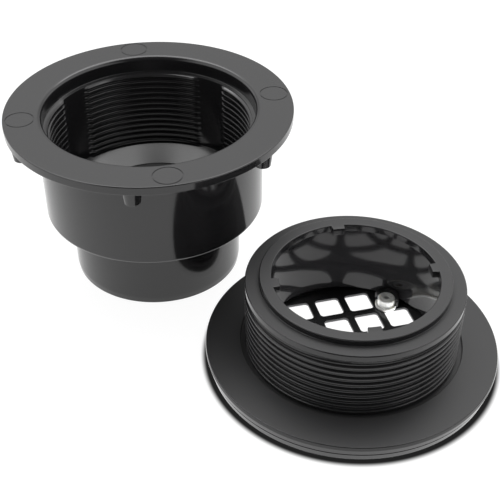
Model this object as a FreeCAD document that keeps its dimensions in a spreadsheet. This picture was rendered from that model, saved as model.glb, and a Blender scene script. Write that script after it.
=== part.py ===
"""Two-piece shower drain: a threaded body, and the strainer barrel unscrewed and set down beside it.

Lengths are in millimetres and angles in degrees. The origin is on the axis of the drain body, at the
end of its outlet spigot, with +Z up. The barrel stands upside down on its flange, as it is put down
on a bench, so its own heights count upwards from the flange face that lies on the bench.
"""
import FreeCAD, Part
import math
import os
import Sketcher

DRAIN_BODY_SIZES = {
    "thread_root_radius": 51.8,
    "thread_depth": 1.5,
    "thread_bite": 0.5,
    "thread_pitch": 3.35,
    "thread_relief": 0.4,
    "channel_count": 4,
    "channel_sweep": 16.0,
    "channel_angle": 56.0,
    "body_height": 91.4,
    "body_wall": 5.2,
    "body_base": 36.0,
    "body_base_round": 2.0,
    "underside_rise": 3.2,
    "mouth_offset": 1.8,
    "mouth_round": 2.0,
    "mouth_depth": 8.4,
    "mouth_step": 2.0,
    "flange_width": 15.5,
    "flange_thickness": 4.5,
    "flange_round": 0.6,
    "funnel_floor": 4.2,
    "funnel_drop": 5.7,
    "spigot_radius": 44.45,
    "spigot_wall": 5.2,
    "spigot_bevel": 0.4,
    "spigot_bevel_height": 3.4,
    "outlet_round": 1.2,
    "peg_count": 6,
    "peg_inset": 5.4,
    "peg_angle": -92.5,
    "peg_height": 7.0,
    "peg_radius": 4.9,
    "peg_tip_radius": 3.9,
    "mark_count": 4,
    "mark_inset": 8.5,
    "mark_angle": 12.0,
    "mark_radius": 7.2,
    "mark_depth": 0.3,
}

STRAINER_BARREL_SIZES = {
    "barrel_x": 99.4,
    "barrel_y": -80.8,
    "thread_clearance": 0.35,
    "barrel_thread_depth": 1.4,
    "barrel_relief": 0.6,
    "barrel_collar_height": 2.6,
    "barrel_wall": 5.05,
    "barrel_flange_width": 19.15,
    "barrel_flange_thickness": 7.8,
    "barrel_flange_rise": 3.0,
    "barrel_flange_round": 2.5,
    "barrel_flange_edge": 0.5,
    "ledge_width": 3.5,
    "ledge_drop": 1.0,
    "parting_width": 0.3,
    "parting_depth": 0.25,
    "barrel_height": 48.5,
    "shoulder_drop": 3.1,
    "shoulder_bevel": 0.4,
    "shoulder_bevel_height": 0.4,
    "ring_inset": 5.25,
    "ring_width": 5.7,
    "ring_round": 0.5,
    "lip_thickness": 3.7,
    "lip_slope": 2.0,
    "bore_bevel": 1.5,
    "bore_bevel_height": 2.2,
    "tab_count": 4,
    "tab_sweep": 9.6,
    "tab_angle": 8.3,
    "tab_reach": 3.1,
}

STRAINER_SIZES = {
    "strainer_landing": 7.5,
    "strainer_clearance": 0.2,
    "strainer_thickness": 1.4,
    "strainer_recess": 0.3,
    "grid_angle": 14.5,
    "hole_side": 11.9,
    "hole_corner": 1.8,
    "hole_pitch": 15.9,
    "long_row": 5,
    "short_row": 3,
    "end_rows": 2,
    "screw_count": 2,
    "screw_angle": 57.0,
    "screw_radius": 2.0,
    "screw_clearance": 0.1,
    "screw_tip_gap": 0.3,
    "head_radius": 3.8,
    "head_land": 0.2,
    "drive_width": 0.9,
    "drive_length": 4.4,
    "drive_depth": 0.9,
    "anchor_radius": 4.4,
    "anchor_height": 5.4,
    "anchor_round": 0.6,
    "anchor_collar_radius": 5.5,
    "anchor_collar_height": 1.5,
    "anchor_floor": 1.0,
    "anchor_pilot_radius": 1.3,
    "seat_clearance": 0.2,
    "seat_wall": 1.9,
    "seat_bite": 0.4,
    "seat_height": 4.7,
}

BODY_RADIUS = "thread_root_radius + body_wall"
FLANGE_RADIUS = BODY_RADIUS + " + flange_width"
FLANGE_UNDERSIDE = "body_height - flange_thickness"
MOUTH_RADIUS = "thread_root_radius + mouth_offset"
THREAD_BOTTOM = "body_base + funnel_floor"
THREAD_TOP = "body_height - mouth_depth - mouth_step"
OUTLET_RADIUS = "spigot_radius - spigot_wall"

BARREL_MAJOR = "thread_root_radius - thread_clearance"
BARREL_ROOT = BARREL_MAJOR + " - barrel_thread_depth"
BARREL_BORE = BARREL_ROOT + " - barrel_wall"
BARREL_RIM = BARREL_MAJOR + " + barrel_flange_width"
FLANGE_CREST = "barrel_flange_thickness + barrel_flange_rise"
LEDGE_HEIGHT = FLANGE_CREST + " - ledge_drop"
BARREL_SHOULDER = "barrel_height - shoulder_drop"
COLLAR_TOP = BARREL_SHOULDER + " - shoulder_bevel_height"
COLLAR_FOOT = COLLAR_TOP + " - barrel_collar_height - 0.5*thread_pitch"
RING_RADIUS = BARREL_ROOT + " - ring_inset"
LIP_RADIUS = RING_RADIUS + " - ring_width"
LIP_UNDERSIDE = "barrel_height - lip_thickness"

STRAINER_RADIUS = BARREL_BORE + " + bore_bevel + strainer_landing"
STRAINER_SEAT = STRAINER_RADIUS + " + strainer_clearance"
STRAINER_BACK = "strainer_recess + strainer_thickness"
HEAD_DEPTH = "strainer_thickness - head_land"
ANCHOR_TOP = STRAINER_BACK + " + anchor_height"
ANCHOR_BORE = "screw_radius + screw_clearance"
SEAT_INNER = "anchor_radius + seat_clearance"
SCREW_CIRCLE = BARREL_BORE + " - anchor_radius - seat_clearance - seat_wall + seat_bite"

NEAR = 1e-4
QUARTER_TURN = math.pi / 2


def signed_products(text):
    """The sign and the factors of each product in a sum such as 'body_height - 0.5*thread_pitch'."""
    sign = 1
    for word in text.split():
        if word in ("+", "-"):
            sign = 1 if word == "+" else -1
        else:
            yield sign, word.split("*")
            sign = 1


class Sizes:
    """The spreadsheet that holds every driving size, and the expressions that read it."""

    def __init__(self, doc):
        self.sheet = doc.addObject("Spreadsheet::Sheet", "Sizes")
        row = 1
        for group in (DRAIN_BODY_SIZES, STRAINER_BARREL_SIZES, STRAINER_SIZES):
            for name, number in group.items():
                self.sheet.set(f"A{row}", name)
                self.sheet.set(f"B{row}", str(number))
                self.sheet.setAlias(f"B{row}", name)
                row += 1
        doc.recompute()

    def value(self, text):
        """The number that a sum of sizes comes to."""
        total = 0
        for sign, factors in signed_products(text):
            product = sign
            for factor in factors:
                product *= float(self.sheet.get(factor)) if factor[0].isalpha() else float(factor)
            total += product
        return total

    def formula(self, text):
        """The same sum as an expression on the sheet."""
        parts = []
        for sign, factors in signed_products(text):
            named = [f"Sizes.{factor}" if factor[0].isalpha() else factor for factor in factors]
            parts.append(" * ".join([str(sign)] + named))
        return " + ".join(parts)

    def bind(self, thing, prop, text):
        """Tie a property of an object to a sum of sizes."""
        thing.setExpression(prop, self.formula(text))

    def bind_polar(self, thing, radius, angle):
        """Tie the offset of an attached object to a radius and an angle about the axis."""
        turn = f"({self.formula(angle)}) * 1 deg"
        thing.setExpression("AttachmentOffset.Base.x", f"({self.formula(radius)}) * cos({turn})")
        thing.setExpression("AttachmentOffset.Base.y", f"({self.formula(radius)}) * sin({turn})")


def new_body(doc, label):
    body = doc.addObject("PartDesign::Body", label)
    body.Label = label
    return body


def datum(body, role):
    """One of the origin planes or axes of a body."""
    return next(item for item in body.Origin.OriginFeatures if item.Role == role)


def new_sketch(body, name, role, sizes, height=None, angle=None):
    """A sketch on an origin plane, lifted along Z and turned about Z where sizes say so."""
    sketch = body.newObject("Sketcher::SketchObject", name)
    sketch.AttachmentSupport = [(datum(body, role), "")]
    sketch.MapMode = "FlatFace"
    upright = FreeCAD.Vector(0, 0, 1) if role == "XY_Plane" else FreeCAD.Vector(0, 1, 0)
    if angle:
        turn = FreeCAD.Rotation(upright, sizes.value(angle))
        sketch.AttachmentOffset = FreeCAD.Placement(FreeCAD.Vector(), turn)
        sizes.bind(sketch, "AttachmentOffset.Rotation.Angle", angle)
    if height:
        sizes.bind(sketch, "AttachmentOffset.Base.z", height)
    return sketch


def place_point(sketch, sizes, geometry, end, across, up):
    """Hold one point of a sketch at two sums of sizes from the origin."""
    for kind, text in (("DistanceX", across), ("DistanceY", up)):
        if sizes.value(text) == 0:
            axis = -2 if kind == "DistanceX" else -1
            sketch.addConstraint(Sketcher.Constraint("PointOnObject", geometry, end, axis))
        else:
            rule = Sketcher.Constraint(kind, -1, 1, geometry, end, sizes.value(text))
            sizes.bind(sketch, f"Constraints[{sketch.addConstraint(rule)}]", text)


def draw_outline(sketch, sizes, corners):
    """A closed polygon. Each corner is a pair of sums: the radius, and the height."""
    spots = [FreeCAD.Vector(sizes.value(x), sizes.value(y), 0) for x, y in corners]
    count = len(spots)
    for index in range(count):
        sketch.addGeometry(Part.LineSegment(spots[index], spots[(index + 1) % count]), False)
    for index in range(count):
        sketch.addConstraint(Sketcher.Constraint("Coincident", index, 2, (index + 1) % count, 1))
    for index, (across, up) in enumerate(corners):
        place_point(sketch, sizes, index, 1, across, up)


def draw_circle(sketch, sizes, across, radius):
    """A circle whose centre is on the sketch's own X axis."""
    centre = FreeCAD.Vector(sizes.value(across), 0, 0)
    ring = sketch.addGeometry(Part.Circle(centre, FreeCAD.Vector(0, 0, 1), sizes.value(radius)), False)
    rule = Sketcher.Constraint("DistanceX", -1, 1, ring, 3, centre.x)
    sizes.bind(sketch, f"Constraints[{sketch.addConstraint(rule)}]", across)
    sketch.addConstraint(Sketcher.Constraint("PointOnObject", ring, 3, -1))
    rule = Sketcher.Constraint("Radius", ring, sizes.value(radius))
    sizes.bind(sketch, f"Constraints[{sketch.addConstraint(rule)}]", radius)


def turned(body, name, kind, sizes, corners, angle=None, sweep=None):
    """A profile turned about the upright axis, all the way or over a sector centred on its angle."""
    sketch = new_sketch(body, name + "Sketch", "XZ_Plane", sizes, angle=angle)
    draw_outline(sketch, sizes, corners)
    feature = body.newObject(kind, name)
    feature.Profile = sketch
    feature.ReferenceAxis = (sketch, ["V_Axis"])
    feature.Angle = 360
    if sweep:
        feature.Midplane = True
        sizes.bind(feature, "Angle", sweep)
    body.Document.recompute()
    return feature


def repeat_round(body, name, features, sizes, count):
    """Copies of features spaced evenly about the upright axis."""
    pattern = body.newObject("PartDesign::PolarPattern", name)
    pattern.Originals = features
    pattern.Axis = (datum(body, "Z_Axis"), [""])
    pattern.Angle = 360
    sizes.bind(pattern, "Occurrences", count)
    body.Tip = pattern
    body.Document.recompute()
    return pattern


def fill_thread(body, name, ridge, sizes, room, upwards=True):
    """As many copies of a thread ridge as the room along the axis holds, one pitch apart."""
    pattern = body.newObject("PartDesign::LinearPattern", name)
    pattern.Originals = [ridge]
    pattern.Direction = (datum(body, "Z_Axis"), [""])
    pattern.Reversed = not upwards
    turns = f"floor(({sizes.formula(room)}) / Sizes.thread_pitch)"
    pattern.setExpression("Occurrences", turns)
    pattern.setExpression("Length", f"({turns} - 1) * Sizes.thread_pitch")
    body.Tip = pattern
    body.Document.recompute()
    return pattern


def round_rings(body, name, feature, sizes, rings, radius):
    """Rounds the full circles at the given radii and heights."""
    wanted = [(sizes.value(across), sizes.value(up)) for across, up in rings]
    names = []
    for number, edge in enumerate(feature.Shape.Edges, start=1):
        if not isinstance(edge.Curve, Part.Circle):
            continue
        for across, up in wanted:
            if abs(edge.Curve.Radius - across) < NEAR and abs(edge.Curve.Center.z - up) < NEAR:
                names.append(f"Edge{number}")
    fillet = body.newObject("PartDesign::Fillet", name)
    fillet.Base = (feature, names)
    sizes.bind(fillet, "Radius", radius)
    body.Document.recompute()
    return fillet


def drain_body(doc, sizes):
    """The moulded body: flange, plain mouth, thread wall, funnel and outlet spigot, as one section."""
    body = new_body(doc, "drain_body")
    funnel_foot = THREAD_BOTTOM + " - funnel_drop"
    wall = turned(body, "BodySection", "PartDesign::Revolution", sizes, [
        ("spigot_radius - spigot_bevel", "0*body_height"),
        ("spigot_radius", "spigot_bevel_height"),
        ("spigot_radius", "body_base - underside_rise"),
        (BODY_RADIUS, "body_base"),
        (BODY_RADIUS, FLANGE_UNDERSIDE),
        (FLANGE_RADIUS, FLANGE_UNDERSIDE),
        (FLANGE_RADIUS, "body_height"),
        (MOUTH_RADIUS, "body_height"),
        (MOUTH_RADIUS, "body_height - mouth_depth"),
        ("thread_root_radius", THREAD_TOP),
        ("thread_root_radius", THREAD_BOTTOM),
        (OUTLET_RADIUS, funnel_foot),
        (OUTLET_RADIUS, "0*body_height"),
    ])
    base = round_rings(body, "BaseRound", wall, sizes, [(BODY_RADIUS, "body_base")], "body_base_round")
    mouth = round_rings(body, "MouthRound", base, sizes, [(MOUTH_RADIUS, "body_height")], "mouth_round")
    outlet = round_rings(body, "OutletRound", mouth, sizes, [(OUTLET_RADIUS, funnel_foot)], "outlet_round")
    flange_edges = [(FLANGE_RADIUS, "body_height"), (FLANGE_RADIUS, FLANGE_UNDERSIDE)]
    round_rings(body, "FlangeRound", outlet, sizes, flange_edges, "flange_round")
    body_thread(body, sizes)
    flange_pegs(body, sizes)
    flange_marks(body, sizes)
    return body


def body_thread(body, sizes):
    """The inner thread, in sectors with plain upright channels between them."""
    start = THREAD_BOTTOM + " + thread_relief"
    bite = "thread_root_radius + thread_bite"
    ridge = turned(body, "InnerRidge", "PartDesign::Revolution", sizes, [
        (bite, start),
        ("thread_root_radius - thread_depth", start + " + 0.5*thread_pitch"),
        (bite, start + " + thread_pitch"),
    ])
    room = THREAD_TOP + " - body_base - funnel_floor - thread_relief"
    fill_thread(body, "InnerThread", ridge, sizes, room)
    inside = "thread_root_radius - thread_depth - thread_bite"
    channel = turned(body, "Channel", "PartDesign::Groove", sizes, [
        (inside, THREAD_BOTTOM),
        ("thread_root_radius", THREAD_BOTTOM),
        ("thread_root_radius", THREAD_TOP),
        (inside, THREAD_TOP),
    ], "channel_angle", "channel_sweep")
    repeat_round(body, "Channels", [channel], sizes, "channel_count")


def flange_pegs(body, sizes):
    """The tapered pegs that key the flange into the mortar bed."""
    peg = body.newObject("PartDesign::AdditiveCone", "Peg")
    peg.AttachmentSupport = [(datum(body, "XY_Plane"), "")]
    peg.MapMode = "FlatFace"
    sizes.bind_polar(peg, FLANGE_RADIUS + " - peg_inset", "peg_angle")
    sizes.bind(peg, "AttachmentOffset.Base.z", FLANGE_UNDERSIDE + " - peg_height")
    sizes.bind(peg, "Radius1", "peg_tip_radius")
    sizes.bind(peg, "Radius2", "peg_radius")
    sizes.bind(peg, "Height", "peg_height")
    body.Document.recompute()
    repeat_round(body, "Pegs", [peg], sizes, "peg_count")


def flange_marks(body, sizes):
    """The shallow round marks that the mould leaves on the flange."""
    sketch = new_sketch(body, "MarkSketch", "XY_Plane", sizes, "body_height", "mark_angle")
    draw_circle(sketch, sizes, FLANGE_RADIUS + " - mark_inset", "mark_radius")
    mark = body.newObject("PartDesign::Pocket", "Mark")
    mark.Profile = sketch
    sizes.bind(mark, "Length", "mark_depth")
    body.Document.recompute()
    repeat_round(body, "Marks", [mark], sizes, "mark_count")


def strainer_barrel(doc, sizes):
    """The moulded barrel: flange, outer thread wall, end ring with its inward lip, and strainer seat."""
    body = new_body(doc, "strainer_barrel")
    half_way = "0.5*barrel_flange_thickness"
    bore_top = LIP_UNDERSIDE + " - lip_slope"
    wall = turned(body, "BarrelSection", "PartDesign::Revolution", sizes, [
        (STRAINER_SEAT, "0*barrel_height"),
        (BARREL_RIM, "0*barrel_height"),
        (BARREL_RIM, half_way + " - parting_width"),
        (BARREL_RIM + " - parting_depth", half_way),
        (BARREL_RIM, half_way + " + parting_width"),
        (BARREL_RIM, "barrel_flange_thickness"),
        (BARREL_ROOT + " + ledge_width", FLANGE_CREST),
        (BARREL_ROOT + " + ledge_width", LEDGE_HEIGHT),
        (BARREL_ROOT, LEDGE_HEIGHT),
        (BARREL_ROOT, COLLAR_FOOT),
        (BARREL_MAJOR, COLLAR_FOOT + " + 0.5*thread_pitch"),
        (BARREL_MAJOR, COLLAR_TOP),
        (BARREL_MAJOR + " - shoulder_bevel", BARREL_SHOULDER),
        (RING_RADIUS, BARREL_SHOULDER),
        (RING_RADIUS, "barrel_height"),
        (LIP_RADIUS, "barrel_height"),
        (LIP_RADIUS, LIP_UNDERSIDE),
        (BARREL_BORE, bore_top),
        (BARREL_BORE, STRAINER_BACK + " + bore_bevel_height"),
        (BARREL_BORE + " + bore_bevel", STRAINER_BACK),
        (STRAINER_SEAT, STRAINER_BACK),
    ])
    rim_edge = [(BARREL_RIM, "barrel_flange_thickness")]
    rim = round_rings(body, "RimRound", wall, sizes, rim_edge, "barrel_flange_round")
    face_edge = [(BARREL_RIM, "0*barrel_height")]
    face = round_rings(body, "FaceRound", rim, sizes, face_edge, "barrel_flange_edge")
    ring_edges = [(RING_RADIUS, "barrel_height"), (LIP_RADIUS, "barrel_height")]
    round_rings(body, "RingRound", face, sizes, ring_edges, "ring_round")
    barrel_thread(body, sizes)
    key_tabs(body, sizes)
    anchor_seats(body, sizes)
    return body


def barrel_thread(body, sizes):
    """The outer thread, as even ridges from the plain collar down to the relief above the flange."""
    bite = BARREL_ROOT + " - thread_bite"
    ridge = turned(body, "OuterRidge", "PartDesign::Revolution", sizes, [
        (bite, COLLAR_FOOT + " - thread_pitch"),
        (BARREL_MAJOR, COLLAR_FOOT + " - 0.5*thread_pitch"),
        (bite, COLLAR_FOOT),
    ])
    room = COLLAR_FOOT + " - barrel_flange_thickness - barrel_flange_rise + ledge_drop - barrel_relief"
    fill_thread(body, "OuterThread", ridge, sizes, room, upwards=False)


def key_tabs(body, sizes):
    """The tabs inside the lip that a key turns the barrel by."""
    reach = LIP_RADIUS + " - tab_reach"
    bite = LIP_RADIUS + " + 2*ring_round"
    tab = turned(body, "Tab", "PartDesign::Revolution", sizes, [
        (reach, LIP_UNDERSIDE),
        (bite, LIP_UNDERSIDE),
        (bite, "barrel_height"),
        (reach, "barrel_height"),
    ], "tab_angle", "tab_sweep")
    repeat_round(body, "Tabs", [tab], sizes, "tab_count")


def anchor_seats(body, sizes):
    """The half-round seats on the bore wall that the screw anchors press into."""
    base = STRAINER_BACK + " + anchor_collar_height + seat_clearance"
    sketch = new_sketch(body, "SeatSketch", "XY_Plane", sizes, base, "screw_angle")
    draw_half_ring(sketch, sizes, SCREW_CIRCLE, SEAT_INNER, SEAT_INNER + " + seat_wall")
    seat = body.newObject("PartDesign::Pad", "Seat")
    seat.Profile = sketch
    sizes.bind(seat, "Length", "seat_height")
    body.Document.recompute()
    repeat_round(body, "Seats", [seat], sizes, "screw_count")


def draw_half_ring(sketch, sizes, across, inner, outer):
    """A half ring that opens towards the origin, its centre on the sketch's own X axis."""
    centre = FreeCAD.Vector(sizes.value(across), 0, 0)
    upright = FreeCAD.Vector(0, 0, 1)
    for radius in (outer, inner):
        circle = Part.Circle(centre, upright, sizes.value(radius))
        arc = sketch.addGeometry(Part.ArcOfCircle(circle, -QUARTER_TURN, QUARTER_TURN), False)
        rule = Sketcher.Constraint("Radius", arc, sizes.value(radius))
        sizes.bind(sketch, f"Constraints[{sketch.addConstraint(rule)}]", radius)
    for end, side in ((1, -1), (2, 1)):
        far = centre + FreeCAD.Vector(0, side * sizes.value(outer), 0)
        near = centre + FreeCAD.Vector(0, side * sizes.value(inner), 0)
        line = sketch.addGeometry(Part.LineSegment(far, near), False)
        sketch.addConstraint(Sketcher.Constraint("Coincident", 0, end, line, 1))
        sketch.addConstraint(Sketcher.Constraint("Coincident", 1, end, line, 2))
        sketch.addConstraint(Sketcher.Constraint("Vertical", line))
    sketch.addConstraint(Sketcher.Constraint("Coincident", 0, 3, 1, 3))
    sketch.addConstraint(Sketcher.Constraint("PointOnObject", 0, 3, -1))
    rule = Sketcher.Constraint("DistanceX", -1, 1, 0, 3, centre.x)
    sizes.bind(sketch, f"Constraints[{sketch.addConstraint(rule)}]", across)
    sketch.addConstraint(Sketcher.Constraint("PointOnObject", 0, 3, 2))


def strainer(doc, sizes):
    """The flat strainer with square holes, countersunk for its screws on the face that lies down."""
    body = new_body(doc, "strainer")
    sketch = new_sketch(body, "PlateSketch", "XY_Plane", sizes, "strainer_recess")
    disc = Part.Circle(FreeCAD.Vector(), FreeCAD.Vector(0, 0, 1), sizes.value(STRAINER_RADIUS))
    edge = sketch.addGeometry(disc, False)
    sketch.addConstraint(Sketcher.Constraint("Coincident", edge, 3, -1, 1))
    rule = Sketcher.Constraint("Radius", edge, sizes.value(STRAINER_RADIUS))
    sizes.bind(sketch, f"Constraints[{sketch.addConstraint(rule)}]", STRAINER_RADIUS)
    plate = body.newObject("PartDesign::Pad", "Plate")
    plate.Profile = sketch
    sizes.bind(plate, "Length", "strainer_thickness")
    doc.recompute()
    long_reach = "long_row*hole_pitch - hole_pitch"
    short_reach = "short_row*hole_pitch - hole_pitch"
    hole_block(body, sizes, "Long", (long_reach, short_reach), ("long_row", "short_row"))
    hole_block(body, sizes, "End", (short_reach, long_reach), ("short_row", "end_rows"))
    countersinks(body, sizes)
    return body


def halved(text):
    """Half of a sum of sizes."""
    return " ".join(word if word in ("+", "-") else "0.5*" + word for word in text.split())


def hole_block(body, sizes, name, reach, counts):
    """A block of square holes about the axis, patterned inwards from the hole at its far corner."""
    sketch = new_sketch(body, name + "Sketch", "XY_Plane", sizes, STRAINER_BACK, "grid_angle")
    draw_rounded_square(sketch, sizes, (halved(reach[0]), halved(reach[1])), "hole_side", "hole_corner")
    hole = body.newObject("PartDesign::Pocket", name + "Hole")
    hole.Profile = sketch
    sizes.bind(hole, "Length", "strainer_thickness")
    body.Document.recompute()
    pattern = body.newObject("PartDesign::LinearPattern", name + "Holes")
    pattern.Originals = [hole]
    pattern.Direction = (sketch, ["H_Axis"])
    pattern.Direction2 = (sketch, ["V_Axis"])
    pattern.Reversed = True
    pattern.Reversed2 = True
    sizes.bind(pattern, "Length", reach[0])
    sizes.bind(pattern, "Length2", reach[1])
    sizes.bind(pattern, "Occurrences", counts[0])
    sizes.bind(pattern, "Occurrences2", counts[1])
    body.Tip = pattern
    body.Document.recompute()


def draw_rounded_square(sketch, sizes, centre, side, corner):
    """A square with rounded corners: four arcs held by their centres, and four tangent lines."""
    reach = sizes.value(side) / 2
    radius = sizes.value(corner)
    middle = FreeCAD.Vector(sizes.value(centre[0]), sizes.value(centre[1]), 0)
    inset = f"0.5*{side} - {corner}"
    for index, (right, up) in enumerate(((1, 1), (-1, 1), (-1, -1), (1, -1))):
        spot = middle + FreeCAD.Vector(right * (reach - radius), up * (reach - radius), 0)
        circle = Part.Circle(spot, FreeCAD.Vector(0, 0, 1), radius)
        start = index * QUARTER_TURN
        arc = sketch.addGeometry(Part.ArcOfCircle(circle, start, start + QUARTER_TURN), False)
        outset = f"- 0.5*{side} + {corner}"
        across = centre[0] + (" + " + inset if right > 0 else " " + outset)
        high = centre[1] + (" + " + inset if up > 0 else " " + outset)
        place_point(sketch, sizes, arc, 3, across, high)
        rule = Sketcher.Constraint("Radius", arc, radius)
        sizes.bind(sketch, f"Constraints[{sketch.addConstraint(rule)}]", corner)
    for index in range(4):
        following = (index + 1) % 4
        ends = sketch.getPoint(index, 2), sketch.getPoint(following, 1)
        line = sketch.addGeometry(Part.LineSegment(*ends), False)
        sketch.addConstraint(Sketcher.Constraint("Tangent", index, 2, line, 1))
        sketch.addConstraint(Sketcher.Constraint("Tangent", line, 2, following, 1))


def countersinks(body, sizes):
    """The screw holes of the strainer, each with a cone for the screw's head."""
    sketch = new_sketch(body, "ShankSketch", "XY_Plane", sizes, STRAINER_BACK, "screw_angle")
    draw_circle(sketch, sizes, SCREW_CIRCLE, ANCHOR_BORE)
    shank = body.newObject("PartDesign::Pocket", "ShankHole")
    shank.Profile = sketch
    sizes.bind(shank, "Length", "strainer_thickness")
    body.Document.recompute()
    cone = body.newObject("PartDesign::SubtractiveCone", "HeadCone")
    cone.AttachmentSupport = [(datum(body, "XY_Plane"), "")]
    cone.MapMode = "FlatFace"
    sizes.bind_polar(cone, SCREW_CIRCLE, "screw_angle")
    sizes.bind(cone, "AttachmentOffset.Base.z", "strainer_recess")
    sizes.bind(cone, "Radius1", "head_radius + screw_clearance")
    sizes.bind(cone, "Radius2", ANCHOR_BORE)
    sizes.bind(cone, "Height", HEAD_DEPTH)
    body.Document.recompute()
    repeat_round(body, "Countersinks", [shank, cone], sizes, "screw_count")


def screw_anchor(doc, sizes, number):
    """A plastic anchor: collar on the strainer, plain body, bore for the screw and pilot hole."""
    body = new_body(doc, f"screw_anchor_{number}")
    collar_top = STRAINER_BACK + " + anchor_collar_height"
    bore_end = ANCHOR_TOP + " - anchor_floor"
    tube = turned(body, "AnchorSection", "PartDesign::Revolution", sizes, [
        (ANCHOR_BORE, STRAINER_BACK),
        ("anchor_collar_radius", STRAINER_BACK),
        ("anchor_collar_radius", collar_top),
        ("anchor_radius", collar_top),
        ("anchor_radius", ANCHOR_TOP),
        ("anchor_pilot_radius", ANCHOR_TOP),
        ("anchor_pilot_radius", bore_end),
        (ANCHOR_BORE, bore_end),
    ])
    round_rings(body, "AnchorRound", tube, sizes, [("anchor_radius", ANCHOR_TOP)], "anchor_round")
    return body


def strainer_screw(doc, sizes, number):
    """A countersunk screw with a cross recess in the face that lies down."""
    body = new_body(doc, f"strainer_screw_{number}")
    face = "strainer_recess"
    tip = ANCHOR_TOP + " - anchor_floor - screw_tip_gap"
    turned(body, "ScrewSection", "PartDesign::Revolution", sizes, [
        ("0*screw_radius", face),
        ("head_radius", face),
        ("screw_radius", face + " + " + HEAD_DEPTH),
        ("screw_radius", tip + " - 0.5*screw_radius"),
        ("0.5*screw_radius", tip),
        ("0*screw_radius", tip),
    ])
    sketch = new_sketch(body, "DriveSketch", "XY_Plane", sizes, face)
    draw_cross(sketch, sizes)
    drive = body.newObject("PartDesign::Pocket", "Drive")
    drive.Profile = sketch
    drive.Reversed = True
    sizes.bind(drive, "Length", "drive_depth")
    doc.recompute()
    return body


def draw_cross(sketch, sizes):
    """A cross of two slots, with its twelve corners at the slot's half width and half length."""
    narrow = sizes.value("0.5*drive_width")
    reach = sizes.value("0.5*drive_length")
    turns = ((narrow, reach), (-narrow, reach), (-narrow, narrow))
    spots = []
    for quarter in range(4):
        turn = FreeCAD.Rotation(FreeCAD.Vector(0, 0, 1), 90 * quarter)
        spots += [turn.multVec(FreeCAD.Vector(x, y, 0)) for x, y in turns]
    count = len(spots)
    for index in range(count):
        sketch.addGeometry(Part.LineSegment(spots[index], spots[(index + 1) % count]), False)
    for index in range(count):
        sketch.addConstraint(Sketcher.Constraint("Coincident", index, 2, (index + 1) % count, 1))
    for index, spot in enumerate(spots):
        for kind, number in (("DistanceX", spot.x), ("DistanceY", spot.y)):
            size = "0.5*drive_length" if abs(abs(number) - reach) < NEAR else "0.5*drive_width"
            ends = (-1, 1, index, 1) if number > 0 else (index, 1, -1, 1)
            rule = Sketcher.Constraint(kind, *ends, abs(number))
            sizes.bind(sketch, f"Constraints[{sketch.addConstraint(rule)}]", size)


def set_down(body, sizes):
    """Stand a piece of the barrel on the bench beside the drain body."""
    sizes.bind(body, "Placement.Base.x", "barrel_x")
    sizes.bind(body, "Placement.Base.y", "barrel_y")


def set_at_screw(body, sizes, number):
    """Stand a screw or an anchor at its place on the screw circle."""
    turn = f"(Sizes.screw_angle + {number - 1} * 360 / Sizes.screw_count) * 1 deg"
    circle = sizes.formula(SCREW_CIRCLE)
    body.setExpression("Placement.Base.x", f"Sizes.barrel_x + ({circle}) * cos({turn})")
    body.setExpression("Placement.Base.y", f"Sizes.barrel_y + ({circle}) * sin({turn})")


def check(doc, bodies):
    """Stop if an object failed, or if a piece isn't one valid solid."""
    for item in doc.Objects:
        if "Invalid" in item.State or "Error" in item.State:
            raise RuntimeError(f"{item.Label} failed: {item.State}")
    for body in bodies:
        if body.Shape.isNull() or not body.Shape.isValid() or len(body.Shape.Solids) != 1:
            raise RuntimeError(f"{body.Label} is not one valid solid")


def main():
    doc = FreeCAD.newDocument("ShowerDrain")
    sizes = Sizes(doc)
    bodies = [drain_body(doc, sizes)]
    for piece in (strainer_barrel, strainer):
        body = piece(doc, sizes)
        set_down(body, sizes)
        bodies.append(body)
    for number in range(1, int(sizes.value("screw_count")) + 1):
        for piece in (screw_anchor, strainer_screw):
            body = piece(doc, sizes, number)
            set_at_screw(body, sizes, number)
            bodies.append(body)
    doc.recompute()
    check(doc, bodies)
    os.makedirs("parts", exist_ok=True)
    for body in bodies:
        body.Shape.exportStep(f"parts/{body.Label}.step")
        box = body.Shape.BoundBox
        print(f"{body.Label}: {body.Shape.Volume:.1f} mm3, {len(body.Shape.Faces)} faces, "
              f"{box.XLength:.2f} x {box.YLength:.2f} x {box.ZLength:.2f} mm from z {box.ZMin:.2f}")


main()
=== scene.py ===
"""Models the visible surfaces of a two-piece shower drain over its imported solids.

The drain body and its unscrewed strainer barrel are turned on their axes, with real helical threads, and get
their pegs, tabs, screw seats and mould marks. The strainer plate and the anchors are modelled piece by piece,
and the strainer screws keep their solids. Sections and the places of small features are in millimetres, and
each corner of a section is its distance from the axis, its height and the rounding of its edge.
"""

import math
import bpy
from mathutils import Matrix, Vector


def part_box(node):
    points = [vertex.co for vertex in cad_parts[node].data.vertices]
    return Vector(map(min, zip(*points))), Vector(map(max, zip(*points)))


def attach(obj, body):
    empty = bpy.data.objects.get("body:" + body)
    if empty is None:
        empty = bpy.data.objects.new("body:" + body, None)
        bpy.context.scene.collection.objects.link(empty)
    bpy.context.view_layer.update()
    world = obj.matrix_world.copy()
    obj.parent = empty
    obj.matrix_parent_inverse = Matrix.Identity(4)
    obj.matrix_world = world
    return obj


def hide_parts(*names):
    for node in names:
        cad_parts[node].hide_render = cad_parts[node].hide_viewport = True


bl_info = {
    "name": "Shower Drain",
    "version": (1, 0, 0),
    "blender": (4, 5, 0),
    "location": "3D View > Sidebar > Shower Drain",
    "description": "Models a threaded shower drain and its strainer barrel, with moulded plastic finishes",
    "category": "Object",
}

import bpy
from bpy.props import FloatProperty, FloatVectorProperty, IntProperty, PointerProperty
from mathutils import Matrix, Vector

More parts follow.
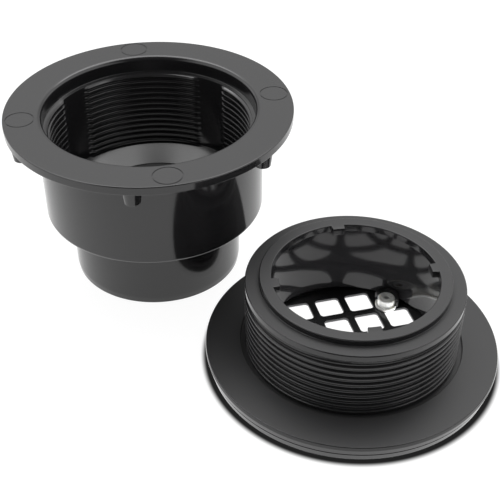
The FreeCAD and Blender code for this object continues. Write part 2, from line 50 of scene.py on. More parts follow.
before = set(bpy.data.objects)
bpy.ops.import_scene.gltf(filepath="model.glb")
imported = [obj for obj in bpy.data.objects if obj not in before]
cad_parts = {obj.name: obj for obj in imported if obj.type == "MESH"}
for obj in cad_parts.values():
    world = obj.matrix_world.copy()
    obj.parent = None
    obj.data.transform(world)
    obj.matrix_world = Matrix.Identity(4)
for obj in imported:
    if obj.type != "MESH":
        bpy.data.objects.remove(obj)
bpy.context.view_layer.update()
BARREL_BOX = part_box("strainer_barrel")
BARREL_AXIS = ((BARREL_BOX[0][0] + BARREL_BOX[1][0]) / 2, (BARREL_BOX[0][1] + BARREL_BOX[1][1]) / 2)

MM = 0.001
TURN_STEPS = 300
ARC_STEP = math.radians(15)
FLAT_BESIDE_ARC = 0.12
JOINT_GAP = 0.00001

# The drain body, in millimetres
BODY_THREAD_ROOT = 51.8
BODY_THREAD_FOOT = 40.2
BODY_THREAD_TOP = 82.8
BODY_THREAD_CREST = 77.7
OUTLET_RADIUS = 39.25
SPIGOT_RADIUS = 44.45
WALL_RADIUS = 57
MOUTH_RADIUS = 53.6
FLANGE_RADIUS = 72.5
FLANGE_FOOT = 86.9
FLANGE_TOP = 91.4
BODY_SECTION = (
    (BODY_THREAD_ROOT, BODY_THREAD_FOOT, 0), (BODY_THREAD_ROOT, 39.6, 0.1), (OUTLET_RADIUS, 32.4, 0.4),
    (OUTLET_RADIUS, 0, 0.4), (44.05, 0, 0.2), (SPIGOT_RADIUS, 3.4, 0.6), (SPIGOT_RADIUS, 32.8, 0.8),
    (WALL_RADIUS, 36, 2), (WALL_RADIUS, FLANGE_FOOT, 0.5), (FLANGE_RADIUS, FLANGE_FOOT, 0.6),
    (FLANGE_RADIUS, FLANGE_TOP, 0.6), (MOUTH_RADIUS, FLANGE_TOP, 2.3), (MOUTH_RADIUS, 83.3, 0.2),
    (BODY_THREAD_ROOT, BODY_THREAD_TOP, 0),
)
PEG_SECTION = ((0, 79.9, 0), (3.9, 79.9, 0.5), (4.85, 87.4, 0), (0, 87.4, 0))
PEG_CIRCLE = 67.1
PEG_ANGLE = math.radians(-92.5)
MARK_SECTION = ((6.75, 91.1, 0), (7.2, 91.1, 0), (7.2, 92, 0), (6.75, 92, 0))
MARK_CIRCLE = 64
MARK_ANGLE = math.radians(12)

# The strainer barrel, in millimetres
BARREL_THREAD_ROOT = 50.05
BARREL_THREAD_FOOT = 9.0
BARREL_THREAD_TOP = 40.7
BARREL_THREAD_CREST = 38.7
COLLAR_RADIUS = 51.45
RING_RADIUS = 44.8
LIP_RADIUS = 39.1
BORE_RADIUS = 45
BARREL_TOP = 48.5
LEDGE_RADIUS = 53.55
SEAT_FLOOR = 1.7
PLATE_SEAT_RADIUS = 54.2
BARREL_SECTION = (
    (BARREL_THREAD_ROOT, BARREL_THREAD_TOP, 0), (COLLAR_RADIUS, 42.375, 0.3), (COLLAR_RADIUS, 45, 0.12),
    (51.05, 45.4, 0.12), (RING_RADIUS, 45.4, 0.2), (RING_RADIUS, BARREL_TOP, 0.5),
    (LIP_RADIUS, BARREL_TOP, 0.5), (LIP_RADIUS, 44.8, 0.2), (BORE_RADIUS, 42.8, 0.6), (BORE_RADIUS, 3.9, 0.4),
    (46.5, SEAT_FLOOR, 0), (PLATE_SEAT_RADIUS, SEAT_FLOOR, 0), (PLATE_SEAT_RADIUS, 0, 0.3), (68.6, 0, 0.3),
    (69.6, 3.6, 0.05), (68.9, 3.9, 0), (69.0, 4.1, 0), (69.85, 4.4, 0.05), (70.6, 7.4, 1), (70.3, 9.2, 0.5),
    (LEDGE_RADIUS, 10.4, 0.15), (LEDGE_RADIUS, BARREL_THREAD_FOOT, 0.1),
    (BARREL_THREAD_ROOT, BARREL_THREAD_FOOT, 0),
)
TAB_SECTION = ((36, 44.8, 0), (40.2, 44.8, 0), (40.2, BARREL_TOP, 0), (36, BARREL_TOP, 0))
TAB_WIDTH = math.radians(9.6)
TAB_ANGLE = math.radians(8.3)
SEAT_SECTION = ((4.6, 3.4, 0), (6.5, 3.4, 0), (6.5, 8.1, 0), (4.6, 8.1, 0))
SCREW_CIRCLE = 38.9
SCREW_ANGLE = math.radians(57)

# The strainer and its anchors, in millimetres
PLATE_RADIUS = 54
PLATE_THICKNESS = 1.4
PLATE_MIDDLE = 1.0
COUNTERSINK_SECTION = ((0, -0.3, 0), (4.8, -0.3, 0), (2.1, 1.5, 0), (2.1, 3, 0), (0, 3, 0))
ANCHOR_SECTION = (
    (2.1, SEAT_FLOOR, 0), (5.5, SEAT_FLOOR, 0.2), (5.5, 3.2, 0.4), (4.4, 3.2, 0.2), (4.4, 7.1, 0.6),
    (3.0, 7.1, 0.15), (2.8, 6.7, 0.1), (2.5, 6.7, 0.1), (2.3, 7.1, 0.15), (1.3, 7.1, 0.2), (1.3, 6.1, 0),
    (2.1, 6.1, 0),
)

# One thread ridge, in shares of the pitch and of the thread's depth
RIDGE_SECTION = (
    (0.0, 0.0), (0.17, 0.0), (0.215, 0.06), (0.29, 0.80), (0.315, 0.92), (0.355, 0.98), (0.41, 1.0),
    (0.59, 1.0), (0.645, 0.98), (0.685, 0.92), (0.71, 0.80), (0.785, 0.06), (0.83, 0.0), (1.0, 0.0),
)
RUN_OUT_AT_ENDS = 0.4
RUN_OUT_AT_GAPS = math.radians(2.4)

# The stage: the floor's light and shade, and the soft box overhead
FLOOR_LIFT = 0.93
SHADOW_SHARE = 0.2
# Painted contact shadow: a band round the barrel's rim where the floor is shown nearly black, whatever light
# falls there
PAINTED_SHADOW_BAND = (70.5 * MM, 73.6 * MM)
PAINTED_SHADOW_LIFT = 0.015
# Painted shade: the floor's light is dimmed inside the drain body's outlet, in view and in reflections
OUTLET_EDGE = (36 * MM, 42 * MM)
PAINTED_OUTLET_SHADE = 0.45
STRAINER_LIGHT = 6.0
BOX_HEIGHT = math.radians(72)
BOX_LIGHT = 3.0
DARK_FRONT = 0.1


class DrainBodySizes(bpy.types.PropertyGroup):
    """Sizes of the threaded drain body."""

    thread_pitch: FloatProperty(
        name="Thread Pitch", description="Rise of the thread in one turn", default=3.35 * MM, unit="LENGTH")
    thread_depth: FloatProperty(
        name="Thread Depth", description="Height of a thread ridge over its root",
        default=1.45 * MM, unit="LENGTH")
    channel_width: FloatProperty(
        name="Channel Width", description="Angle of each upright channel through the thread",
        default=math.radians(17), subtype="ANGLE", unit="ROTATION")
    channel_angle: FloatProperty(
        name="Channel Angle", description="Angle of the first channel from the X axis",
        default=math.radians(56), subtype="ANGLE", unit="ROTATION")
    peg_count: IntProperty(name="Pegs", description="Number of pegs under the flange", default=6)
    mark_count: IntProperty(name="Mould Marks", description="Number of round marks on the flange", default=4)


class StrainerBarrelSizes(bpy.types.PropertyGroup):
    """Sizes of the strainer barrel."""

    thread_pitch: FloatProperty(
        name="Thread Pitch", description="Rise of the thread in one turn", default=3.35 * MM, unit="LENGTH")
    thread_depth: FloatProperty(
        name="Thread Depth", description="Height of a thread ridge over its root",
        default=1.4 * MM, unit="LENGTH")
    tab_count: IntProperty(name="Key Tabs", description="Number of tabs inside the lip", default=4)
    seat_count: IntProperty(
        name="Screw Seats", description="Number of half-round seats on the bore", default=2)


class StrainerSizes(bpy.types.PropertyGroup):
    """Sizes of the strainer plate."""

    hole_side: FloatProperty(
        name="Hole Side", description="Side of each square hole", default=12.4 * MM, unit="LENGTH")
    hole_corner: FloatProperty(
        name="Hole Corner", description="Corner radius of each square hole", default=1.8 * MM, unit="LENGTH")
    hole_pitch: FloatProperty(
        name="Hole Pitch", description="Distance from hole to hole", default=16.1 * MM, unit="LENGTH")
    grid_angle: FloatProperty(
        name="Grid Angle", description="Turn of the rows of holes about the axis",
        default=math.radians(14.5), subtype="ANGLE", unit="ROTATION")


class DrainFinish(bpy.types.PropertyGroup):
    """Colours of the drain's materials."""

    plastic: FloatVectorProperty(
        name="Black ABS", description="Colour of the moulded body and barrel",
        default=(0.013, 0.0128, 0.0135), size=3, min=0, max=1, subtype="COLOR")
    strainer: FloatVectorProperty(
        name="Strainer", description="Colour of the strainer plate",
        default=(0.026, 0.026, 0.027), size=3, min=0, max=1, subtype="COLOR")
    nylon: FloatVectorProperty(
        name="Nylon", description="Colour of the screw anchors",
        default=(0.82, 0.82, 0.79), size=3, min=0, max=1, subtype="COLOR")
    steel: FloatVectorProperty(
        name="Stainless Steel", description="Colour of the strainer screws",
        default=(0.55, 0.55, 0.55), size=3, min=0, max=1, subtype="COLOR")
    floor: FloatVectorProperty(
        name="Floor", description="Colour of the floor that the drain stands on",
        default=(0.8, 0.8, 0.8), size=3, min=0, max=1, subtype="COLOR")


def pick_nothing():
    """Leave edit mode and deselect every object."""
    if bpy.context.mode != "OBJECT":
        bpy.ops.object.mode_set(mode="OBJECT")
    bpy.ops.object.select_all(action="DESELECT")


def pick(*pieces):
    """Select these pieces alone, the first one active."""
    pick_nothing()
    for piece in pieces:
        piece.select_set(True)
    bpy.context.view_layer.objects.active = pieces[0]


def remove(piece):
    """Delete a piece that was only a tool or a pattern for others."""
    pick(piece)
    bpy.ops.object.delete()


def place_in_mesh(piece):
    """Keep the place of a piece in its mesh, with its object at the origin."""
    pick(piece)
    bpy.ops.object.transform_apply(location=True, rotation=True, scale=True)


def place(piece, x=0, y=0, turn=0):
    """Turn a piece about the upright axis, move it, and keep the place in its mesh."""
    piece.rotation_euler.z = turn
    piece.location = (x, y, 0)
    place_in_mesh(piece)


def join(*pieces):
    """One piece out of several."""
    pick(*pieces)
    bpy.ops.object.join()
    return bpy.context.object


def turned_copies(piece, count):
    """The piece and its copies, spaced evenly about the upright axis, as one piece."""
    ring = [piece]
    for number in range(1, count):
        pick(piece)
        bpy.ops.object.duplicate(linked=False)
        copy = bpy.context.object
        place(copy, turn=math.tau * number / count)
        ring.append(copy)
    return join(*ring)


def combine(piece, tool, operation):
    """Add a tool to a piece or cut it out of the piece, and remove the tool."""
    pick(piece)
    bpy.ops.object.modifier_add(type="BOOLEAN")
    boolean = piece.modifiers[-1]
    boolean.operation = operation
    boolean.solver = "EXACT"
    boolean.object = tool
    bpy.ops.object.modifier_apply(modifier=boolean.name)
    remove(tool)


def soften_edges(piece, width, segments=2):
    """Bevel the hard edges of a piece."""
    pick(piece)
    bpy.ops.object.modifier_add(type="BEVEL")
    bevel = piece.modifiers[-1]
    bevel.width = width
    bevel.segments = segments
    bevel.limit_method = "ANGLE"
    bevel.angle_limit = math.radians(40)
    bpy.ops.object.modifier_apply(modifier=bevel.name)


def softened(corners, closed):
    """The drawn points of a section: a rounded corner becomes an arc with a short flat on either side."""
    points = []
    for index, (across, up, rounding) in enumerate(corners):
        here = Vector((across, up))
        if not rounding or (not closed and index in (0, len(corners) - 1)):
            points.append(here)
            continue
        back = (Vector(corners[index - 1][:2]) - here).normalized()
        ahead = (Vector(corners[(index + 1) % len(corners)][:2]) - here).normalized()
        opening = back.angle(ahead)
        reach = rounding / math.tan(opening / 2)
        centre = here + (back + ahead).normalized() * rounding / math.sin(opening / 2)
        sweep = math.copysign(math.pi - opening, back.cross(ahead))
        steps = max(2, round(abs(sweep) / ARC_STEP))
        points.append(here + back * (reach + FLAT_BESIDE_ARC))
        for step in range(steps + 1):
            arm = here + back * reach - centre
            arm.rotate(Matrix.Rotation(-sweep * step / steps, 2))
            points.append(centre + arm)
        points.append(here + ahead * (reach + FLAT_BESIDE_ARC))
    if closed:
        points.append(points[0])
    return [point * MM for point in points]


def draw_chain(name, points):
    """A chain of edges in the upright plane through the X axis, extruded from one vertex."""
    pick_nothing()
    bpy.ops.mesh.primitive_plane_add(size=MM)
    chain = bpy.context.object
    chain.name = name
    chain.data.name = name
    bpy.ops.object.mode_set(mode="EDIT")
    bpy.ops.mesh.select_mode(type="VERT")
    bpy.ops.mesh.select_all(action="SELECT")
    bpy.ops.mesh.merge(type="CENTER")
    bpy.ops.transform.translate(value=(points[0][0], 0, points[0][1]))
    for before, after in zip(points, points[1:]):
        step = (after[0] - before[0], 0, after[1] - before[1])
        bpy.ops.mesh.extrude_vertices_move(TRANSFORM_OT_translate={"value": step})
    bpy.ops.object.mode_set(mode="OBJECT")
    return chain


def close_surface(piece):
    """Merge the doubled vertices of a piece and turn its faces outwards."""
    pick(piece)
    bpy.ops.object.mode_set(mode="EDIT")
    bpy.ops.mesh.select_all(action="SELECT")
    bpy.ops.mesh.remove_doubles(threshold=JOINT_GAP)
    bpy.ops.mesh.normals_make_consistent(inside=False)
    bpy.ops.object.mode_set(mode="OBJECT")


def turn_section(name, corners, closed=True, sweep=math.tau, steps=TURN_STEPS):
    """A section spun about the upright axis. A part turn goes clockwise from the X axis."""
    piece = draw_chain(name, softened(corners, closed))
    bpy.ops.object.mode_set(mode="EDIT")
    bpy.ops.mesh.select_all(action="SELECT")
    if sweep < math.tau:
        bpy.ops.mesh.remove_doubles(threshold=JOINT_GAP)
        bpy.ops.mesh.edge_face_add()
    bpy.ops.mesh.spin(steps=steps, angle=sweep, center=(0, 0, 0), axis=(0, 0, 1))
    close_surface(piece)
    return piece


def run_out(distance, length):
    """How much of a ridge is left at a distance from its end: none at the end, all past the length."""
    share = min(max(distance / length, 0), 1)
    return share * share * (3 - 2 * share)


def wind_thread(name, root, reach, pitch, low, high, crest, gaps=()):
    """A right-hand thread between two heights: a ridge section screwed up the axis and run out at its ends.

    The crest stands at the height crest where it passes the X axis. A gap is a middle angle and half a width.
    """
    start = crest - pitch / 2
    start -= pitch * math.ceil((start + pitch - low) / pitch)
    turns = math.ceil((high - start) / pitch)
    thread = draw_chain(name, [(root + reach * out, start + pitch * up) for up, out in RIDGE_SECTION])
    pick(thread)
    bpy.ops.object.modifier_add(type="SCREW")
    screw = thread.modifiers[-1]
    screw.axis = "Z"
    screw.steps = screw.render_steps = TURN_STEPS
    screw.angle = math.tau
    screw.screw_offset = pitch
    screw.iterations = turns
    bpy.ops.object.modifier_apply(modifier=screw.name)
    for vertex in thread.data.vertices:
        angle = math.atan2(vertex.co.y, vertex.co.x)
        height = min(max(vertex.co.z, low), high)
        left = run_out(min(height - low, high - height), RUN_OUT_AT_ENDS * pitch)
        for middle, half_width in gaps:
            away = abs(math.remainder(angle - middle, math.tau))
            left *= run_out(away - half_width, RUN_OUT_AT_GAPS)
        radius = root + (math.hypot(vertex.co.x, vertex.co.y) - root) * left
        vertex.co = (radius * math.cos(angle), radius * math.sin(angle), height)
    close_surface(thread)
    return thread


def finish_piece(piece, name, material, node):
    """Name, shade and paint a piece, and let it stand for its node."""
    pick(piece)
    piece.name = name
    piece.data.name = name
    bpy.ops.object.shade_smooth_by_angle(angle=math.radians(45))
    piece.data.materials.clear()
    piece.data.materials.append(material)
    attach(piece, "root")
    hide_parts(node)


def add_node(tree, kind, **settings):
    """A node with its settings, and its inputs by name where a setting names one."""
    node = tree.nodes.new(kind)
    for key, value in settings.items():
        if hasattr(node, key):
            setattr(node, key, value)
        else:
            node.inputs[key.replace("_", " ").title()].default_value = value
    return node


def feed(tree, socket, value):
    """Link a socket to another one, or give it a value of its own."""
    if isinstance(value, bpy.types.NodeSocket):
        tree.links.new(value, socket)
    else:
        socket.default_value = value


def calculate(tree, operation, first, second):
    """The result of one sum on two sockets or numbers."""
    node = add_node(tree, "ShaderNodeMath", operation=operation)
    feed(tree, node.inputs[0], first)
    feed(tree, node.inputs[1], second)
    return node.outputs["Value"]


def measure(tree, operation, vector, other=(0, 0, 0)):
    """A number that two vectors make, such as the distance between them."""
    node = add_node(tree, "ShaderNodeVectorMath", operation=operation)
    feed(tree, node.inputs[0], vector)
    feed(tree, node.inputs[1], other)
    return node.outputs["Value"]


def ramp(tree, source, start, end, low, high, interpolation="SMOOTHSTEP"):
    """A rise or fall from low to high while the source goes from start to end."""
    node = add_node(tree, "ShaderNodeMapRange", interpolation_type=interpolation)
    for socket, value in zip(node.inputs, (source, start, end, low, high)):
        feed(tree, socket, value)
    return node.outputs["Result"]


def choose(tree, factor, off, on):
    """A number that is one value where the factor is 0 and another where it is 1."""
    node = add_node(tree, "ShaderNodeMix", data_type="FLOAT")
    for index, value in ((0, factor), (2, off), (3, on)):
        feed(tree, node.inputs[index], value)
    return node.outputs[0]


def choose_colour(tree, factor, off, on):
    """A colour that is one where the factor is 0 and another where it is 1."""
    node = add_node(tree, "ShaderNodeMix", data_type="RGBA")
    for index, value in ((0, factor), (6, off), (7, on)):
        feed(tree, node.inputs[index], value)
    return node.outputs[2]


def moulded_skin():
    """Shader group: the faint grain and the uneven gloss of moulded plastic."""
    name = "Moulded Skin"
    if name in bpy.data.node_groups:
        return bpy.data.node_groups[name]
    group = bpy.data.node_groups.new(name, "ShaderNodeTree")
    group.interface.new_socket(name="Vector", in_out="INPUT", socket_type="NodeSocketVector")
    for label, default in (("Grain Size", 2500.0), ("Gloss", 0.15), ("Gloss Spread", 0.05)):
        socket = group.interface.new_socket(name=label, in_out="INPUT", socket_type="NodeSocketFloat")
        socket.default_value = default
    for label in ("Roughness", "Height", "Cloud"):
        group.interface.new_socket(name=label, in_out="OUTPUT", socket_type="NodeSocketFloat")
    source = group.nodes.new("NodeGroupInput")
    result = group.nodes.new("NodeGroupOutput")
    grain = add_node(group, "ShaderNodeTexNoise", detail=2.0, roughness=0.6)
    cloud = add_node(group, "ShaderNodeTexNoise", scale=45.0, detail=3.0, roughness=0.55)
    link = group.links.new
    link(source.outputs["Vector"], grain.inputs["Vector"])
    link(source.outputs["Grain Size"], grain.inputs["Scale"])
    link(source.outputs["Vector"], cloud.inputs["Vector"])
    uneven = calculate(group, "SUBTRACT", cloud.outputs["Fac"], 0.5)
    spread = calculate(group, "MULTIPLY", uneven, source.outputs["Gloss Spread"])
    link(calculate(group, "ADD", spread, source.outputs["Gloss"]), result.inputs["Roughness"])
    link(grain.outputs["Fac"], result.inputs["Height"])
    link(cloud.outputs["Fac"], result.inputs["Cloud"])
    return group


def new_material(name):
    """A material with its node tree, its Principled BSDF and the piece's object coordinates."""
    material = bpy.data.materials.new(name)
    material.use_nodes = True
    tree = material.node_tree
    coordinates = tree.nodes.new("ShaderNodeTexCoord")
    return material, tree, tree.nodes["Principled BSDF"], coordinates.outputs["Object"]


def add_skin(tree, shader, place_on_piece, gloss, spread, strength, grain_height):
    """Give a material's shader the moulded skin's roughness and bump."""
    skin = add_node(tree, "ShaderNodeGroup", node_tree=moulded_skin())
    bump = tree.nodes.new("ShaderNodeBump")
    bump.inputs["Strength"].default_value = strength
    bump.inputs["Distance"].default_value = grain_height
    feed(tree, skin.inputs["Vector"], place_on_piece)
    feed(tree, skin.inputs["Gloss"], gloss)
    feed(tree, skin.inputs["Gloss Spread"], spread)
    feed(tree, bump.inputs["Height"], skin.outputs["Height"])
    feed(tree, shader.inputs["Roughness"], skin.outputs["Roughness"])
    feed(tree, shader.inputs["Normal"], bump.outputs["Normal"])
    return skin


def plastic_material(name, colour, gloss, satin, spread, grain_height, index=1.56):
    """Moulded black plastic, glossy on its walls and more satin on the faces that look up."""
    material, tree, shader, place_on_piece = new_material(name)
    shader.inputs["Base Color"].default_value = (*colour, 1)
    shader.inputs["IOR"].default_value = index
    facing = tree.nodes.new("ShaderNodeNewGeometry")
    parts = tree.nodes.new("ShaderNodeSeparateXYZ")
    tree.links.new(facing.outputs["Normal"], parts.inputs["Vector"])
    finish = ramp(tree, parts.outputs["Z"], 0.9, 0.985, gloss, satin, interpolation="LINEAR")
    add_skin(tree, shader, place_on_piece, finish, spread, 0.25, grain_height)
    return material


def nylon_material(colour):
    """Natural nylon, slightly translucent and uneven."""
    material, tree, shader, place_on_piece = new_material("Natural Nylon")
    skin = add_skin(tree, shader, place_on_piece, 0.4, 0.1, 0.2, 0.02 * MM)
    shaded = (*[channel * 0.93 for channel in colour], 1)
    feed(tree, shader.inputs["Base Color"], choose_colour(tree, skin.outputs["Cloud"], shaded, (*colour, 1)))
    shader.inputs["Subsurface Weight"].default_value = 0.3
    shader.inputs["Subsurface Scale"].default_value = 3 * MM
    shader.inputs["Subsurface Radius"].default_value = (1, 0.95, 0.85)
    return material


def steel_material(colour):
    """Plain stainless steel, slightly uneven."""
    material, tree, shader, place_on_piece = new_material("Stainless Steel")
    shader.inputs["Base Color"].default_value = (*colour, 1)
    shader.inputs["Metallic"].default_value = 1
    add_skin(tree, shader, place_on_piece, 0.28, 0.12, 0.2, 0.01 * MM)
    return material


class DRAIN_OT_body(bpy.types.Operator):
    """Model the threaded drain body with its flange, pegs and mould marks."""

    bl_idname = "shower_drain.body"
    bl_label = "Drain Body"

    def execute(self, context):
        sizes = context.scene.drain_body_sizes
        section = turn_section("DrainBody", BODY_SECTION, closed=False)
        channels = [sizes.channel_angle + quarter * math.pi / 2 for quarter in range(4)]
        gaps = [(middle, sizes.channel_width / 2) for middle in channels]
        thread = wind_thread(
            "InnerThread", BODY_THREAD_ROOT * MM, -sizes.thread_depth, sizes.thread_pitch,
            BODY_THREAD_FOOT * MM, BODY_THREAD_TOP * MM, BODY_THREAD_CREST * MM, gaps)
        body = join(section, thread)
        close_surface(body)
        self.round_features(body, "Peg", PEG_SECTION, 48, PEG_CIRCLE, sizes.peg_count, PEG_ANGLE, "UNION")
        self.round_features(
            body, "Mark", MARK_SECTION, 72, MARK_CIRCLE, sizes.mark_count, MARK_ANGLE, "DIFFERENCE")
        material = plastic_material(
            "Black ABS Body", context.scene.drain_finish.plastic,
            gloss=0.1, satin=0.24, spread=0.05, grain_height=0.02 * MM)
        finish_piece(body, "drain_body_moulding", material, "drain_body")
        return {"FINISHED"}

    def round_features(self, body, name, section, steps, circle, count, angle, operation):
        """Turn one feature, repeat it on its circle, and add it to the body or cut it out."""
        feature = turn_section(name, section, steps=steps)
        place(feature, circle * MM)
        features = turned_copies(feature, count)
        place(features, turn=angle)
        combine(body, features, operation)


class DRAIN_OT_barrel(bpy.types.Operator):
    """Model the strainer barrel with its flange, outer thread, lip tabs and screw seats."""

    bl_idname = "shower_drain.barrel"
    bl_label = "Strainer Barrel"

    def execute(self, context):
        sizes = context.scene.strainer_barrel_sizes
        section = turn_section("StrainerBarrel", BARREL_SECTION, closed=False)
        thread = wind_thread(
            "OuterThread", BARREL_THREAD_ROOT * MM, sizes.thread_depth, sizes.thread_pitch,
            BARREL_THREAD_FOOT * MM, BARREL_THREAD_TOP * MM, BARREL_THREAD_CREST * MM)
        barrel = join(section, thread)
        close_surface(barrel)
        combine(barrel, self.tabs(sizes.tab_count), "UNION")
        combine(barrel, self.seats(sizes.seat_count), "UNION")
        place(barrel, *BARREL_AXIS)
        material = plastic_material(
            "Black ABS Barrel", context.scene.drain_finish.plastic,
            gloss=0.08, satin=0.5, spread=0.04, grain_height=0.012 * MM, index=1.5)
        finish_piece(barrel, "strainer_barrel_moulding", material, "strainer_barrel")
        return {"FINISHED"}

    def tabs(self, count):
        """The key tabs inside the lip."""
        tab = turn_section("Tab", TAB_SECTION, sweep=TAB_WIDTH, steps=8)
        soften_edges(tab, 0.35 * MM, segments=3)
        tabs = turned_copies(tab, count)
        place(tabs, turn=TAB_ANGLE + TAB_WIDTH / 2)
        return tabs

    def seats(self, count):
        """The half-round seats that hold the screw anchors to the bore."""
        seat = turn_section("Seat", SEAT_SECTION, sweep=math.pi, steps=32)
        soften_edges(seat, 0.2 * MM)
        place(seat, SCREW_CIRCLE * MM, turn=math.pi / 2)
        seats = turned_copies(seat, count)
        place(seats, turn=SCREW_ANGLE)
        return seats


class DRAIN_OT_strainer(bpy.types.Operator):
    """Model the strainer plate with its square holes and countersinks."""

    bl_idname = "shower_drain.strainer"
    bl_label = "Strainer"

    def execute(self, context):
        pick_nothing()
        bpy.ops.mesh.primitive_cylinder_add(
            vertices=180, radius=PLATE_RADIUS * MM, depth=PLATE_THICKNESS * MM,
            location=(0, 0, PLATE_MIDDLE * MM))
        plate = bpy.context.object
        place_in_mesh(plate)
        combine(plate, self.hole_cutters(context.scene.strainer_sizes), "DIFFERENCE")
        cone = turn_section("Countersink", COUNTERSINK_SECTION, steps=40)
        place(cone, SCREW_CIRCLE * MM)
        cones = turned_copies(cone, 2)
        place(cones, turn=SCREW_ANGLE)
        combine(plate, cones, "DIFFERENCE")
        soften_edges(plate, 0.3 * MM, segments=3)
        place(plate, *BARREL_AXIS)
        material = plastic_material(
            "Black Strainer", context.scene.drain_finish.strainer,
            gloss=0.08, satin=0.2, spread=0.03, grain_height=0.01 * MM)
        finish_piece(plate, "strainer_plate", material, "strainer")
        return {"FINISHED"}

    def hole_cutters(self, sizes):
        """The cutters of the 21 square holes, a grid of five by five without its corners."""
        cutter = self.hole_cutter(sizes)
        cutters = []
        for column in range(-2, 3):
            for row in range(-2, 3):
                if abs(column) + abs(row) == 4:
                    continue
                pick(cutter)
                bpy.ops.object.duplicate(linked=False)
                copy = bpy.context.object
                copy.location = (column * sizes.hole_pitch, row * sizes.hole_pitch, 0)
                cutters.append(copy)
        remove(cutter)
        cutters = join(*cutters)
        place_in_mesh(cutters)
        place(cutters, turn=sizes.grid_angle)
        return cutters

    def hole_cutter(self, sizes):
        """A cube whose upright edges are rounded."""
        bpy.ops.mesh.primitive_cube_add(size=sizes.hole_side, location=(0, 0, 0))
        cutter = bpy.context.object
        bpy.ops.object.mode_set(mode="EDIT")
        bpy.ops.mesh.select_mode(type="EDGE")
        bpy.ops.mesh.select_all(action="DESELECT")
        bpy.ops.object.mode_set(mode="OBJECT")
        for edge in cutter.data.edges:
            first, second = (cutter.data.vertices[index].co for index in edge.vertices)
            edge.select = abs(first.z - second.z) > sizes.hole_side / 2
        bpy.ops.object.mode_set(mode="EDIT")
        bpy.ops.mesh.bevel(offset=sizes.hole_corner, segments=6)
        bpy.ops.object.mode_set(mode="OBJECT")
        return cutter


class DRAIN_OT_anchors(bpy.types.Operator):
    """Model the two nylon anchors of the strainer screws."""

    bl_idname = "shower_drain.anchors"
    bl_label = "Screw Anchors"

    def execute(self, context):
        material = nylon_material(context.scene.drain_finish.nylon)
        for number in (1, 2):
            anchor = turn_section(f"Anchor{number}", ANCHOR_SECTION, steps=64)
            place(anchor, SCREW_CIRCLE * MM)
            place(anchor, turn=SCREW_ANGLE + math.pi * (number - 1))
            place(anchor, *BARREL_AXIS)
            finish_piece(
                anchor, f"nylon_anchor_{number}", material, f"screw_anchor_{number}")
        return {"FINISHED"}


class DRAIN_OT_screws(bpy.types.Operator):
    """Give the two strainer screws their stainless finish."""

    bl_idname = "shower_drain.screws"
    bl_label = "Strainer Screws"

    def execute(self, context):
        material = steel_material(context.scene.drain_finish.steel)
        for number in (1, 2):
            for place_for_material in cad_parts[f"strainer_screw_{number}"].material_slots:
                place_for_material.material = material
        return {"FINISHED"}


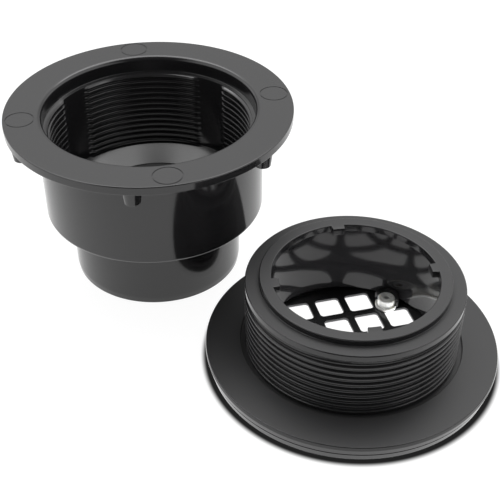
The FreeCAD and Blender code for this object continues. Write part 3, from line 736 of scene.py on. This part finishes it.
class DRAIN_OT_stage(bpy.types.Operator):
    """Set up the floor, the even studio light and the camera."""

    bl_idname = "shower_drain.stage"
    bl_label = "Stage"

    def execute(self, context):
        self.floor(context.scene.drain_finish.floor)
        self.world(context.scene)
        self.camera(context.scene)
        context.scene.view_settings.view_transform = "Standard"
        return {"FINISHED"}

    def floor(self, colour):
        """A white floor that clips to white in view but keeps the drain's shadow.

        It is painted dark in a thin band round the barrel's rim, a painted contact shadow, and painted dimmer
        inside the outlet, a painted shade, and under the strainer it lights the anchors from below.
        """
        pick_nothing()
        bpy.ops.mesh.primitive_plane_add(size=6, location=(0, 0, -0.05 * MM))
        floor = bpy.context.object
        floor.name = "floor"
        place_in_mesh(floor)
        material, tree, shader, place_on_piece = new_material("White Floor")
        shader.inputs["Roughness"].default_value = 0.9
        shader.inputs["Specular IOR Level"].default_value = 0
        shader.inputs["Emission Color"].default_value = (1, 1, 1, 1)

        rays = tree.nodes.new("ShaderNodeLightPath")
        reflected = calculate(
            tree, "MAXIMUM", rays.outputs["Is Glossy Ray"], rays.outputs["Is Transmission Ray"])
        seen = calculate(tree, "MAXIMUM", reflected, rays.outputs["Is Camera Ray"])

        from_barrel = measure(tree, "DISTANCE", place_on_piece, (*BARREL_AXIS, 0))
        from_outlet = measure(tree, "LENGTH", place_on_piece)
        # Painted contact shadow: the floor's lift falls to almost nothing in the band round the barrel's rim
        past_painted_shadow = ramp(tree, from_barrel, *PAINTED_SHADOW_BAND, PAINTED_SHADOW_LIFT, FLOOR_LIFT)
        under_strainer = calculate(tree, "LESS_THAN", from_barrel, PLATE_RADIUS * MM)
        # Painted shade inside the outlet: the floor's light falls to a share of itself there
        painted_outlet_shade = ramp(tree, from_outlet, *OUTLET_EDGE, PAINTED_OUTLET_SHADE, 1)
        plain = calculate(tree, "MAXIMUM", past_painted_shadow, under_strainer)

        # Seen in view, the floor's colour falls with the same lift, so the painted contact shadow is dark in
        # its colour too
        shown = add_node(tree, "ShaderNodeVectorMath", operation="SCALE")
        shown.inputs[0].default_value = [channel * SHADOW_SHARE for channel in colour]
        tree.links.new(plain, shown.inputs["Scale"])
        paint = choose_colour(tree, seen, (*colour, 1), shown.outputs["Vector"])
        tree.links.new(paint, shader.inputs["Base Color"])

        from_below = calculate(tree, "MULTIPLY", under_strainer, STRAINER_LIGHT)
        share = choose(tree, seen, from_below, 1)
        lift = calculate(tree, "MULTIPLY", share, calculate(tree, "MAXIMUM", plain, reflected))
        # The painted shade inside the outlet dims all of the floor's light
        strength = calculate(tree, "MULTIPLY", lift, painted_outlet_shade)
        tree.links.new(strength, shader.inputs["Emission Strength"])
        floor.data.materials.append(material)

    def world(self, scene):
        """A light tent with a soft box overhead, bright walls behind and beside, and a dark front."""
        world = bpy.data.worlds.new("Light Tent")
        world.use_nodes = True
        tree = world.node_tree
        background = tree.nodes["Background"]
        background.inputs["Color"].default_value = (1, 1, 1, 1)
        direction = tree.nodes.new("ShaderNodeTexCoord").outputs["Generated"]
        parts = tree.nodes.new("ShaderNodeSeparateXYZ")
        tree.links.new(direction, parts.inputs["Vector"])
        ahead, up = parts.outputs["Y"], parts.outputs["Z"]
        sideways = calculate(tree, "ABSOLUTE", parts.outputs["X"], 0)
        box_tilt = (0, -math.sin(BOX_HEIGHT), math.cos(BOX_HEIGHT))
        off_box = calculate(tree, "ABSOLUTE", measure(tree, "DOT_PRODUCT", direction, box_tilt), 0)

        behind = ramp(tree, ahead, start=0.1, end=0.5, low=0, high=1)
        rising = ramp(tree, up, start=0.3, end=0.75, low=0.62, high=1.65)
        beside = ramp(tree, sideways, start=0.3, end=0.8, low=0, high=1.5)
        above_ground = ramp(tree, up, start=-0.1, end=0.3, low=0.3, high=1)
        overhead = ramp(tree, up, start=0.4, end=0.6, low=0, high=1)
        box_length = ramp(tree, sideways, start=0.4, end=0.62, low=BOX_LIGHT, high=0)
        box_width = ramp(tree, off_box, start=0.28, end=0.42, low=1, high=0)

        back_wall = calculate(tree, "MULTIPLY", behind, rising)
        side_wall = calculate(tree, "MULTIPLY", beside, above_ground)
        walls = calculate(tree, "MAXIMUM", back_wall, side_wall)
        tent = calculate(tree, "MAXIMUM", walls, DARK_FRONT)
        box = calculate(tree, "MULTIPLY", calculate(tree, "MULTIPLY", overhead, box_length), box_width)
        rays = tree.nodes.new("ShaderNodeLightPath")
        strength = choose(tree, rays.outputs["Is Camera Ray"], calculate(tree, "ADD", tent, box), 1)
        tree.links.new(strength, background.inputs["Strength"])
        scene.world = world

    def camera(self, scene):
        """The camera stands where the drain is seen from in front and above."""
        bpy.ops.object.camera_add(
            location=(0.05047, -0.4421, 0.34267), rotation=(math.radians(52.26), 0, 0))
        camera = bpy.context.object
        camera.data.lens = 72.44
        camera.data.sensor_width = 36
        camera.data.clip_start = 0.01
        scene.camera = camera


class DRAIN_PT_panel(bpy.types.Panel):
    """Lists the steps that model the drain, and the sizes and colours they read."""

    bl_idname = "DRAIN_PT_panel"
    bl_label = "Shower Drain"
    bl_space_type = "VIEW_3D"
    bl_region_type = "UI"
    bl_category = "Shower Drain"

    def draw(self, context):
        for name in VALUE_GROUPS:
            group = getattr(context.scene, name)
            column = self.layout.column(align=True)
            for key in group.bl_rna.properties.keys():
                if key not in ("rna_type", "name"):
                    column.prop(group, key)
        for operator in OPERATORS:
            self.layout.operator(operator.bl_idname)


VALUE_GROUPS = {
    "drain_body_sizes": DrainBodySizes,
    "strainer_barrel_sizes": StrainerBarrelSizes,
    "strainer_sizes": StrainerSizes,
    "drain_finish": DrainFinish,
}
OPERATORS = (
    DRAIN_OT_body, DRAIN_OT_barrel, DRAIN_OT_strainer, DRAIN_OT_anchors, DRAIN_OT_screws, DRAIN_OT_stage,
)
CLASSES = (*VALUE_GROUPS.values(), *OPERATORS, DRAIN_PT_panel)


def register():
    for cls in CLASSES:
        bpy.utils.register_class(cls)
    for name, group in VALUE_GROUPS.items():
        setattr(bpy.types.Scene, name, PointerProperty(type=group))


def unregister():
    for name in VALUE_GROUPS:
        delattr(bpy.types.Scene, name)
    for cls in reversed(CLASSES):
        bpy.utils.unregister_class(cls)


def main():
    """Model every piece in order."""
    register()
    bpy.ops.shower_drain.body()
    bpy.ops.shower_drain.barrel()
    bpy.ops.shower_drain.strainer()
    bpy.ops.shower_drain.anchors()
    bpy.ops.shower_drain.screws()
    bpy.ops.shower_drain.stage()


if __name__ == "__main__":
    main()
